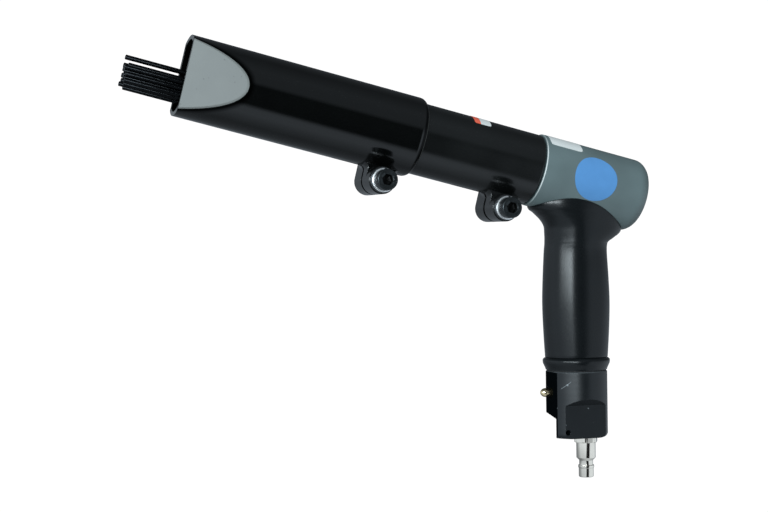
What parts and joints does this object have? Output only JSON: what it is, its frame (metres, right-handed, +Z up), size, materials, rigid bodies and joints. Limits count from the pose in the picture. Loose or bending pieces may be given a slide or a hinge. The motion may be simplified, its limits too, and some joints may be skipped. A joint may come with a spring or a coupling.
{
  "type": "needle scaler",
  "caption": "Pistol grip air needle scaler: a bundle of round needles driven by a hammer in a clamped two-tube barrel, with a raked grip, a throttle pin and an air plug.",
  "frame": {"origin": "middle of the grip, on the handle axis", "axes": "+X to the rear along the barrel, so the needles point to -X; +Z up; the handle leans back, bottom towards +X"},
  "size_m": [0.3539, 0.0528, 0.2083],
  "materials": {
    "tube_paint": "semi-gloss black",
    "housing_paint": "satin grey",
    "block_paint": "black anodised",
    "grip_plastic": "moulded satin black",
    "black_steel": "black oxide",
    "dark_washer": "dark plated",
    "zinc_steel": "zinc plated",
    "needle_steel": "dark oiled steel",
    "inner_steel": "machined",
    "bronze": "machined",
    "brass": "turned",
    "nickel": "bright nickel",
    "seal_rubber": "matt"
  },
  "bodies": {
    "tool": {"middle_tube": "tube_paint", "rear_clamp_screw": "black_steel", "rear_clamp_washer": "dark_washer", "rear_spring_washer": "zinc_steel", "housing": "housing_paint", "return_spring": "inner_steel", "spring_stop_ring": "inner_steel", "anvil_bush": "bronze", "cylinder_sleeve": "inner_steel", "valve_seat_plate": "inner_steel", "valve_box": "inner_steel", "valve_dowels": "inner_steel", "handle_grip": "grip_plastic", "grip_ring": "grip_plastic", "air_tube": "inner_steel", "block_gasket": "seal_rubber", "valve_block": "block_paint", "throttle_bush": "black_steel", "throttle_seat": "brass", "throttle_spring": "inner_steel", "throttle_cap": "black_steel", "inlet_strainer": "bronze", "air_plug": "nickel"},
    "nozzle": {"front_tube": "tube_paint", "front_clamp_screw": "black_steel", "front_clamp_washer": "dark_washer", "front_spring_washer": "zinc_steel"},
    "needle_set": {"needles": "needle_steel", "needle_holder": "inner_steel", "anvil": "inner_steel"},
    "hammer": {"hammer": "inner_steel"},
    "valve": {"valve_disc": "inner_steel"},
    "throttle": {"throttle_pin": "brass", "throttle_valve": "inner_steel"}
  },
  "joints": [
    {"name": "nozzle_slide", "type": "slide", "parent": "tool", "child": "nozzle", "axis": [-1, 0, 0], "range_m": [-0.03, 0.02]},
    {"name": "needle_slide", "type": "slide", "parent": "tool", "child": "needle_set", "axis": [-1, 0, 0], "range_m": [0, 0.01], "stiffness_N_per_m": 2000, "springref_m": -0.004, "deforming": ["return_spring"]},
    {"name": "hammer_slide", "type": "slide", "parent": "tool", "child": "hammer", "axis": [-1, 0, 0], "range_m": [0, 0.0275]},
    {"name": "valve_flutter", "type": "slide", "parent": "tool", "child": "valve", "axis": [1, 0, 0], "range_m": [0, 0.0008]},
    {"name": "throttle_slide", "type": "slide", "parent": "tool", "child": "throttle", "axis": [0.9691, 0, 0.2467], "range_m": [0, 0.003], "stiffness_N_per_m": 2500, "springref_m": -0.001, "deforming": ["throttle_spring"]}
  ]
}
